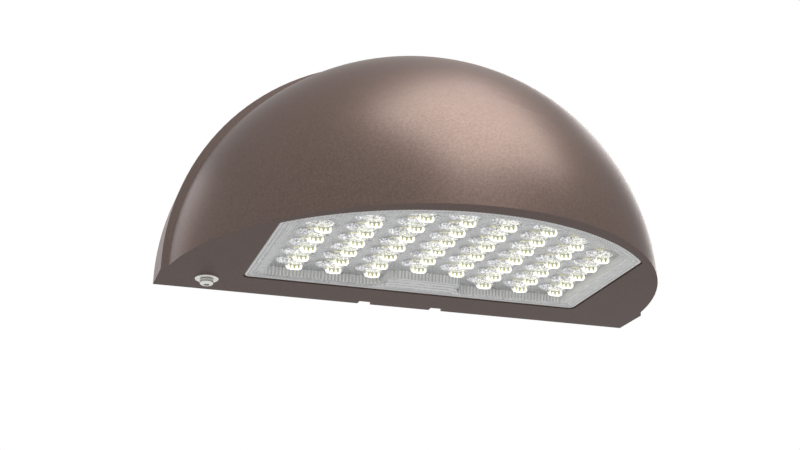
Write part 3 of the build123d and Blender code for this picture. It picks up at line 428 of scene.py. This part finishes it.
def clear_plastic():
    """Clear moulding, part of whose look is a frosting with a faint painted glow: most on the border and
    walls, least in the field.
    """
    finish = Finish("clear_plastic", Transmission_Weight=1.0, IOR=PLASTIC_IOR)
    finish.set("Roughness", finish.noise(POLISH_GRAIN) * COVER_DULLING + COVER_POLISH)
    streaks = finish.above(finish.noise(STREAK_GRAIN, detail=4.0, roughness=0.7), edge=0.49, blur=0.05)
    finish.set("Base Color", finish.mix(streaks, STREAK_GREY, WHITE))
    finish.bump(finish.noise(COVER_RIPPLE_GRAIN, detail=2.0), COVER_RIPPLE_DEPTH, strength=0.7)
    # A frosting that also glows: painted glow by its emission.
    frosting_and_glow = finish.nodes.new("ShaderNodeBsdfPrincipled")
    for socket, value in FROSTED_GLOWING.items():
        frosting_and_glow.inputs[socket].default_value = value
    finish.put(frosting_and_glow.inputs["Base Color"], cover_pattern(finish))
    height = finish.between(finish.axis("Z"), BOTTOM, BOTTOM + LENS_WALL_TOP * MM)
    stops = [(start, (part, part, part)) for start, part in FROST_SHARES]
    share = finish.node("ShaderNodeValToRGB", {"stops": stops}, {"Fac": height}, "Color")
    finish.blend(share, finish.shader.outputs["BSDF"], frosting_and_glow.outputs["BSDF"])
    return finish.material


def clear_optic():
    """Clear plastic of the domes: small patches of painted grey shade and painted white highlight, painted
    glints that glow, and ripples, so that it sparkles.
    """
    finish = Finish("clear_optic", Transmission_Weight=1.0, IOR=PLASTIC_IOR)
    # Painted highlight and shade: white and grey patches.
    painted_facets = finish.above(finish.noise(PAINTED_FACET_GRAIN, roughness=0.6), edge=0.48, blur=0.03)
    finish.set("Base Color", finish.mix(painted_facets, PAINTED_FACET_SHADE, WHITE))
    # Painted glints: white patches that glow.
    glints = finish.above(finish.noise(GLINT_GRAIN, roughness=0.6), edge=0.55, blur=0.03)
    finish.set("Emission Color", finish.mix(glints, BLACK, WHITE))
    finish.shader.inputs["Emission Strength"].default_value = OPTIC_GLINT
    finish.set("Roughness", finish.noise(POLISH_GRAIN) * OPTIC_DULLING + OPTIC_POLISH)
    finish.bump(finish.noise(OPTIC_RIPPLE_GRAIN, detail=2.0), OPTIC_RIPPLE_DEPTH, strength=0.9)
    return finish.material


def phosphor():
    """Yellow LED phosphor, lit faintly as the photograph shows it."""
    finish = Finish("phosphor", Roughness=0.4)
    grain = finish.noise(PHOSPHOR_GRAIN)
    finish.set("Base Color", finish.mix(grain, PHOSPHOR_DEEP, PHOSPHOR_PALE))
    finish.set("Emission Color", finish.mix(grain, LED_GLOW_DEEP, LED_GLOW_PALE))
    finish.shader.inputs["Emission Strength"].default_value = LED_GLOW
    return finish.material


def lit_prism():
    """Prisms painted with the LEDs' reflection: a glowing band with teeth along the edge and a glowing olive
    comb, both painted reflection, with painted grey and pale sparks.
    """
    finish = Finish("lit_prism", Transmission_Weight=0.6, IOR=PLASTIC_IOR, Roughness=0.12)
    along, rise = finish.stored("along"), finish.stored("rise")
    middle = finish.above(along.math("ABSOLUTE") * -1.0, -PRISM_LIT_SPAN, blur=0.05)
    teeth = finish.above(finish.waves(along, PRISM_TOOTH), edge=0.5, blur=0.15)
    crescent = rise + teeth * PRISM_TOOTH_RISE + along * along * PRISM_BAND_CURVE
    # Painted reflection of the LEDs: a glowing band, and an olive comb.
    band = finish.above(crescent, PRISM_LIT_RISE, blur=0.05) * middle
    comb = finish.above(rise, PRISM_COMB_RISE, blur=0.1) * middle
    unlit = finish.mix(comb, PRISM_UNLIT, COMB_GLOW)
    finish.set("Emission Color", finish.mix(band, unlit, PRISM_LIT))
    # Painted glints and shade: pale and grey sparks.
    sparks = finish.above(finish.noise(PRISM_SPARK_GRAIN), edge=0.5, blur=0.04)
    finish.set("Base Color", finish.mix(comb, finish.mix(sparks, PRISM_SPARK_SHADE, PRISM_SPARK_GLINT), COMB_REFLECTION_OLIVE))
    finish.shader.inputs["Emission Strength"].default_value = PRISM_GLOW
    return finish.material


def metal(name, colour, roughness):
    """Plain metal with faint darker and duller streaks."""
    finish = Finish(name, Metallic=1.0)
    streaks = finish.noise(METAL_GRAIN, roughness=0.6)
    dark = tuple(METAL_SHADE * c for c in colour)
    finish.set("Base Color", finish.mix(streaks, dark, colour))
    finish.set("Roughness", swing(streaks) * METAL_DULLING + roughness)
    finish.bump(streaks, METAL_DEPTH, strength=0.4)
    return finish.material


def moulded(name, colour, roughness, grain=MOULDED_GRAIN, depth=MOULDED_DEPTH):
    """Plastic, rubber, foam or enamel, with a fine grain."""
    finish = Finish(name)
    grains = finish.noise(grain, detail=2.0, roughness=0.6)
    clouds = finish.noise(MOULDED_CLOUDS)
    light = tuple(min(1.0, c * MOULDED_LIGHTER + MOULDED_LIFT) for c in colour)
    finish.set("Base Color", finish.mix(clouds, colour, light))
    finish.set("Roughness", swing(grains) * MOULDED_DULLING + roughness)
    finish.bump(grains, depth, strength=0.5)
    return finish.material


def new_finish(name):
    if name in METALS:
        return metal(name, *METALS[name])
    if name in MOULDINGS:
        return moulded(name, *MOULDINGS[name])
    return {"bronze_paint": bronze_paint, "clear_plastic": clear_plastic, "phosphor": phosphor}[name]()


def dress(piece, material):
    piece.data.materials.clear()
    piece.data.materials.append(material)


# ---- Outlines, as lists of (across, depth) ----
def arc(centre_x, centre_depth, radius, start, end, count):
    """Points on an arc; the angle runs from +across towards +depth."""
    angles = [start + (end - start) * n / (count - 1) for n in range(count)]
    return [(centre_x + radius * cos(a), centre_depth + radius * sin(a)) for a in angles]


def nose_and_sides(half, back, arc_radius, corner):
    """Every part of a D outline but its rear edge, from the right rear corner round to the left."""
    centre_x = half - corner
    centre_depth = LENS_ARC_CENTRE + sqrt((arc_radius - corner) ** 2 - centre_x**2)
    lean = atan2(centre_depth - LENS_ARC_CENTRE, centre_x)
    right = arc(centre_x, back + corner, corner, -pi / 2, 0.0, CORNER_POINTS)
    sides = [(half, back + corner + (centre_depth - back - corner) * n / SIDE_POINTS)
             for n in range(1, SIDE_POINTS)]
    shoulder = arc(centre_x, centre_depth, corner, 0.0, lean, CORNER_POINTS)
    nose = arc(0.0, LENS_ARC_CENTRE, arc_radius, lean, pi - lean, NOSE_POINTS)
    half_way = right + sides + shoulder
    return half_way + nose[1:-1] + [(-x, depth) for x, depth in reversed(half_way)]


def rear_route():
    """Rear edge of the optic field from left to right, stepping forward round the plain step."""
    half, back = LENS_HALF_WIDTH - BORDER_SIDE - FIELD_CORNER, LENS_BACK + BORDER_BACK
    step = back + STEP_DEPTH
    left = [(-half, back)]
    left += arc(-STEP_HALF_WIDTH - STEP_ELBOW, back + STEP_ELBOW, STEP_ELBOW, -pi / 2, 0.0, ELBOW_POINTS)
    left += arc(-STEP_HALF_WIDTH + STEP_ELBOW, step - STEP_ELBOW, STEP_ELBOW, pi, pi / 2, ELBOW_POINTS)
    return left + [(-x, depth) for x, depth in reversed(left)]


def is_fluted(x, depth):
    """Whether the rear route has flutes here: not at the elbows, the screw posts or the corners."""
    across = abs(x)
    if depth > LENS_BACK + BORDER_BACK + STEP_WALL:
        return across < STEP_HALF_WIDTH - STEP_ELBOW
    near_post = abs(across - POST_SPREAD) < POST_PLAIN
    in_corner = across > LENS_HALF_WIDTH - BORDER_SIDE - FIELD_CORNER
    return across > STEP_HALF_WIDTH + STEP_ELBOW and not near_post and not in_corner


def fluted_rear():
    """The rear route in small steps, with upright rounded flutes where the wall has them."""
    route = [Vector(p) for p in rear_route()]
    spacing = FLUTE_PITCH / FLUTE_POINTS
    travelled, points = 0.0, []
    for start, end in zip(route, route[1:]):
        length = (end - start).length
        along = (end - start) / length
        inward = Vector((-along.y, along.x))
        count = max(1, round(length / spacing))
        for n in range(count):
            reach = n * length / count
            spot = start + along * reach
            wave = abs(sin(pi * (travelled + reach) / FLUTE_PITCH))
            points.append(spot + inward * FLUTE_DEPTH * wave * is_fluted(*spot))
        travelled += length
    return [tuple(p) for p in points[1:]]


def field_loop(inset):
    """The optic field's outline moved inwards, its rear fluted."""
    half, back = LENS_HALF_WIDTH - BORDER_SIDE, LENS_BACK + BORDER_BACK
    radius = LENS_ARC_RADIUS - BORDER_FRONT
    around = nose_and_sides(half - inset, back + inset, radius - inset, FIELD_CORNER)
    return [(x, depth + inset) for x, depth in fluted_rear()] + around


def lens_loop(inset):
    """The lens's own outline moved inwards, with as many points as the field's."""
    half, back = LENS_HALF_WIDTH - inset, LENS_BACK + inset
    corner = max(LENS_CORNER - inset, LEAST_CORNER)
    around = nose_and_sides(half, back, LENS_ARC_RADIUS - inset, corner)
    count = len(fluted_rear())
    width = half - corner
    rear = [(-width + 2 * width * (n + 1) / (count + 1), back) for n in range(count)]
    return rear + around


# ---- Meshes ----
def new_piece(name, mesh, material):
    made = bpy.data.objects.new(name, mesh)
    bpy.context.collection.objects.link(made)
    mesh.materials.append(material)
    return made


def bridge(form, low, high):
    """Quads between two closed rings of as many vertices."""
    for n in range(len(low)):
        after = (n + 1) % len(low)
        form.faces.new((low[n], low[after], high[after], high[n]))


def skin_of_loops(form, loops):
    """Quads between closed loops of as many points each, given as (outline, height, inset)."""
    kept = form.verts.layers.float.new("inset")
    rings = []
    for outline, z, inset in loops:
        rings.append([form.verts.new(place(x, depth, z)) for x, depth in outline])
        for corner in rings[-1]:
            corner[kept] = inset
    for low, high in zip(rings, rings[1:]):
        bridge(form, low, high)
    return rings


def field_faces_up(form):
    """Whether the largest face, the optic field's, points up, which is into the lamp."""
    return max(form.faces, key=lambda face: face.calc_area()).normal.z > 0


def finish_mesh(form, name, crease, inside_out=None):
    """The form as a mesh of smooth faces and sharp creases, its faces turned round if inside_out says so."""
    bmesh.ops.recalc_face_normals(form, faces=form.faces)
    form.normal_update()
    if inside_out and inside_out(form):
        bmesh.ops.reverse_faces(form, faces=form.faces)
    for face in form.faces:
        face.smooth = True
    for edge in form.edges:
        edge.smooth = len(edge.link_faces) == 2 and edge.calc_face_angle() < radians(crease)
    mesh = bpy.data.meshes.new(name)
    form.to_mesh(mesh)
    form.free()
    return mesh


def applied(piece):
    """The piece with its modifiers turned into plain mesh."""
    graph = bpy.context.evaluated_depsgraph_get()
    mesh = bpy.data.meshes.new_from_object(piece.evaluated_get(graph))
    piece.modifiers.clear()
    piece.data = mesh
    return piece


def cover_profile():
    """The cover's loops from the top of its outer wall to the field, as (outline, height, inset)."""
    outer = [(0.0, LENS_WALL_TOP), (0.0, LENS_FACE + EDGE_BREAK)]
    outer += [(BEAD_WIDTH * across, LENS_FACE - BEAD_PROUD * proud) for across, proud in BEAD_PROFILE]
    for start, width in GROOVES:
        outer += [
            (start, LENS_FACE), (start + width / 2, LENS_FACE + GROOVE_DEPTH), (start + width, LENS_FACE),
        ]
    inner = [
        (-EDGE_BREAK, LENS_FACE), (0.0, LENS_FACE + EDGE_BREAK), (FIELD_DRAFT, FIELD_FACE - FIELD_BREAK),
        (FIELD_DRAFT + FIELD_BREAK, FIELD_FACE),
    ]
    loops = [(lens_loop(inset), z, inset) for inset, z in outer]
    return loops + [(field_loop(inset), z, BORDER_SIDE + inset) for inset, z in inner]


def lens_cover(material):
    """Outer wall, bead, grooved border, fluted walls and sunken field, in one skin of even thickness."""
    form = bmesh.new()
    rim = skin_of_loops(form, cover_profile())[-1]
    edges = [form.edges.get((a, b)) for a, b in zip(rim, rim[1:] + rim[:1])]
    bmesh.ops.triangle_fill(form, edges=edges, use_beauty=True, use_dissolve=False)
    cover = new_piece("lens_cover", finish_mesh(form, "lens_cover", COVER_CREASE, field_faces_up), material)
    wall = cover.modifiers.new("wall", "SOLIDIFY")
    wall.thickness, wall.offset = LENS_SKIN * MM, -1.0
    return applied(cover)


def optic_shape(material):
    """One dome of two lobes, with fine ribs round it, over an LED at the origin."""
    form = bmesh.new()
    tip = form.verts.new((0.0, 0.0, -OPTIC_HEIGHT * (1 - OPTIC_SADDLE) * MM))
    rings = []
    for ring in range(1, OPTIC_RINGS + 1):
        out = sin(pi / 2 * ring / OPTIC_RINGS)
        verts = []
        for n in range(OPTIC_SIDES):
            angle = 2 * pi * n / OPTIC_SIDES
            rib = 1 - OPTIC_FLUTE_DEPTH * out * (0.5 + 0.5 * cos(OPTIC_FLUTES * angle)) / OPTIC_HALF_DEPTH
            x, y = OPTIC_HALF_WIDTH * out * rib * cos(angle), OPTIC_HALF_DEPTH * out * rib * sin(angle)
            saddle = 1 - OPTIC_SADDLE / (1 + (x / OPTIC_WAIST) ** 2)
            z = -OPTIC_HEIGHT * sqrt(max(0.0, 1 - out * out)) * saddle
            verts.append(form.verts.new((x * MM, y * MM, z * MM)))
        rings.append(verts)
    for n in range(OPTIC_SIDES):
        form.faces.new((tip, rings[0][n], rings[0][(n + 1) % OPTIC_SIDES]))
    for low, high in zip(rings, rings[1:]):
        bridge(form, low, high)
    form.faces.new(rings[-1])
    return new_piece("optic", finish_mesh(form, "optic", OPTIC_CREASE), material)


def prism_shape(material):
    """The curved ridge on a dome's wall side, which throws the light forward."""
    form = bmesh.new()
    section = [
        (PRISM_RADIUS, 0.0), (PRISM_RADIUS, -PRISM_HEIGHT), (PRISM_RADIUS + PRISM_TOP, -PRISM_HEIGHT),
        (PRISM_RADIUS + PRISM_FOOT, 0.0),
    ]
    spread = radians(PRISM_SPREAD)
    along, rise = (form.verts.layers.float.new(name) for name in ("along", "rise"))
    cuts = []
    for n in range(PRISM_STEPS + 1):
        angle = pi / 2 - spread + 2 * spread * n / PRISM_STEPS
        taper = min(1.0, PRISM_TAPER * sin(pi * (n + 0.5) / (PRISM_STEPS + 1)))
        cut = []
        for radius, z in section:
            across, back = radius * cos(angle) + PRISM_ASIDE, radius * sin(angle) - PRISM_FORWARD
            corner = form.verts.new(Vector((across, back, z * taper)) * MM)
            corner[along], corner[rise] = 2 * n / PRISM_STEPS - 1, -z / PRISM_HEIGHT
            cut.append(corner)
        cuts.append(cut)
    for near, far in zip(cuts, cuts[1:]):
        bridge(form, near, far)
    form.faces.new(cuts[0])
    form.faces.new(cuts[-1])
    return new_piece("prism", finish_mesh(form, "prism", OPTIC_CREASE), material)


def tree_input(tree, name, kind, value=None):
    """Adds an input to a Geometry Nodes tree, and gives its identifier."""
    made = tree.interface.new_socket(name=name, in_out="INPUT", socket_type=kind)
    if value is not None:
        made.default_value = value
    return made.identifier


def spread_on_points(name, spots, shape, material):
    """Copies of a shape on points, by Geometry Nodes, as one plain mesh."""
    tree = bpy.data.node_groups.new(name, "GeometryNodeTree")
    tree_input(tree, "Geometry", "NodeSocketGeometry")
    shape_id = tree_input(tree, "Shape", "NodeSocketObject")
    size_id = tree_input(tree, "Size", "NodeSocketFloat", 1.0)
    finish_id = tree_input(tree, "Finish", "NodeSocketMaterial")
    tree.interface.new_socket(name="Geometry", in_out="OUTPUT", socket_type="NodeSocketGeometry")
    source, sink = tree.nodes.new("NodeGroupInput"), tree.nodes.new("NodeGroupOutput")
    picked = tree.nodes.new("GeometryNodeObjectInfo")
    copies = tree.nodes.new("GeometryNodeInstanceOnPoints")
    solid = tree.nodes.new("GeometryNodeRealizeInstances")
    painted = tree.nodes.new("GeometryNodeSetMaterial")
    for start, end in (
        (source.outputs["Geometry"], copies.inputs["Points"]),
        (source.outputs["Shape"], picked.inputs["Object"]),
        (source.outputs["Size"], copies.inputs["Scale"]),
        (picked.outputs["Geometry"], copies.inputs["Instance"]),
        (copies.outputs["Instances"], solid.inputs["Geometry"]),
        (solid.outputs["Geometry"], painted.inputs["Geometry"]),
        (source.outputs["Finish"], painted.inputs["Material"]),
        (painted.outputs["Geometry"], sink.inputs["Geometry"]),
    ):
        tree.links.new(start, end)
    points = bpy.data.meshes.new(name)
    points.from_pydata(spots, [], [])
    made = new_piece(name, points, material)
    spreader = made.modifiers.new("copies", "NODES")
    spreader.node_group = tree
    spreader[shape_id], spreader[size_id], spreader[finish_id] = shape, 1.0, material
    return applied(made)


def optic_places():
    """Every optic's place, as (across, depth), in columns mirrored about the middle."""
    for column, rows in COLUMN_ROWS.items():
        for row in rows:
            for side in (-1, 1):
                yield side * column * OPTIC_PITCH_X, FIRST_ROW + row * OPTIC_PITCH_Y


def clear_lens(material):
    """The moulded lens: its cover, and its domes and prisms in finishes of their own."""
    spots = [place(x, depth, FIELD_FACE - OPTIC_SUNK) for x, depth in optic_places()]
    pieces = [lens_cover(material)]
    domes, prisms = optic_shape(clear_optic()), prism_shape(lit_prism())
    for name, pattern in (("lens_domes", domes), ("lens_prisms", prisms)):
        pieces.append(spread_on_points(name, spots, pattern, pattern.data.materials[0]))
        bpy.data.objects.remove(pattern)
    for piece in pieces:
        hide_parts("lens")
        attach(piece, "housing")


# ---- Surroundings ----
def studio():
    """White surroundings for the camera, glass and gloss, and a plain level of soft light."""
    world = bpy.data.worlds.new("studio")
    bpy.context.scene.world = world
    tree = Tree(world)
    back = tree.nodes["Background"]
    back.inputs["Color"].default_value = (*WHITE, 1.0)
    seen = tree.seen_by("Is Camera Ray", "Is Glossy Ray", "Is Transmission Ray")
    levels = {"Value": seen, "To Min": AMBIENT, "To Max": 1.0}
    tree.put(back.inputs["Strength"], tree.node("ShaderNodeMapRange", {}, levels, "Result"))


def pale_floor():
    """Pale floor that keeps shadows, and is plain white in gloss and through the clear lens."""
    material = new_finish("pale_floor")
    tree = Tree(material)
    mirrored = tree.seen_by("Is Glossy Ray", "Is Transmission Ray")
    share = (tree.seen_by("Is Camera Ray") * FLOOR_PALE).math("MAXIMUM", mirrored)
    white = tree.nodes.new("ShaderNodeEmission")
    tree.blend(share, tree.nodes["Principled BSDF"].outputs["BSDF"], white.outputs["Emission"])
    return material


def floor():
    """A plain pale floor under the part."""
    half = FLOOR_SIZE / 2
    corners = [(x, y, FLOOR_HEIGHT) for x, y in ((-half, -half), (half, -half), (half, half), (-half, half))]
    mesh = bpy.data.meshes.new("floor")
    mesh.from_pydata(corners, [], [(0, 1, 2, 3)])
    new_piece("floor", mesh, pale_floor())


def softbox(name, watts, size, spot):
    """A square soft light, aimed at the part."""
    data = bpy.data.lights.new(name, "AREA")
    data.energy, data.shape = watts, "RECTANGLE"
    data.size, data.size_y = size, size
    lamp = bpy.data.objects.new(name, data)
    bpy.context.collection.objects.link(lamp)
    lamp.location = spot
    lamp.rotation_euler = (Vector(LIT_SPOT) - Vector(spot)).to_track_quat("-Z", "Y").to_euler()


def camera():
    """The photograph's camera, from its place and its three angles."""
    yaw, pitch, roll = (radians(a) for a in (CAMERA_YAW, CAMERA_PITCH, CAMERA_ROLL))
    forward = Vector((sin(yaw) * cos(pitch), cos(yaw) * cos(pitch), sin(pitch)))
    right = Vector((cos(yaw), -sin(yaw), 0.0))
    up = right.cross(forward)
    tilted_right = right * cos(roll) + up * sin(roll)
    tilted_up = up * cos(roll) - right * sin(roll)
    turn = Matrix((tilted_right, tilted_up, -forward)).transposed()
    data = bpy.data.cameras.new("camera")
    data.sensor_width = SENSOR_WIDTH
    data.lens = FOCAL_PIXELS / PHOTO_WIDTH * SENSOR_WIDTH
    eye = bpy.data.objects.new("camera", data)
    bpy.context.collection.objects.link(eye)
    eye.matrix_world = Matrix.Translation(CAMERA_PLACE) @ turn.to_4x4()
    bpy.context.scene.camera = eye


def main():
    bpy.context.scene.view_settings.view_transform = "Standard"
    studio()
    camera()
    floor()
    for name, watts, size, spot in SOFTBOXES:
        softbox(name, watts, size, spot)
    for name, nodes in NODE_FINISH.items():
        material = new_finish(name)
        for node in nodes:
            dress(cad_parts[node], material)
    clear_lens(bpy.data.materials["clear_plastic"])


main()
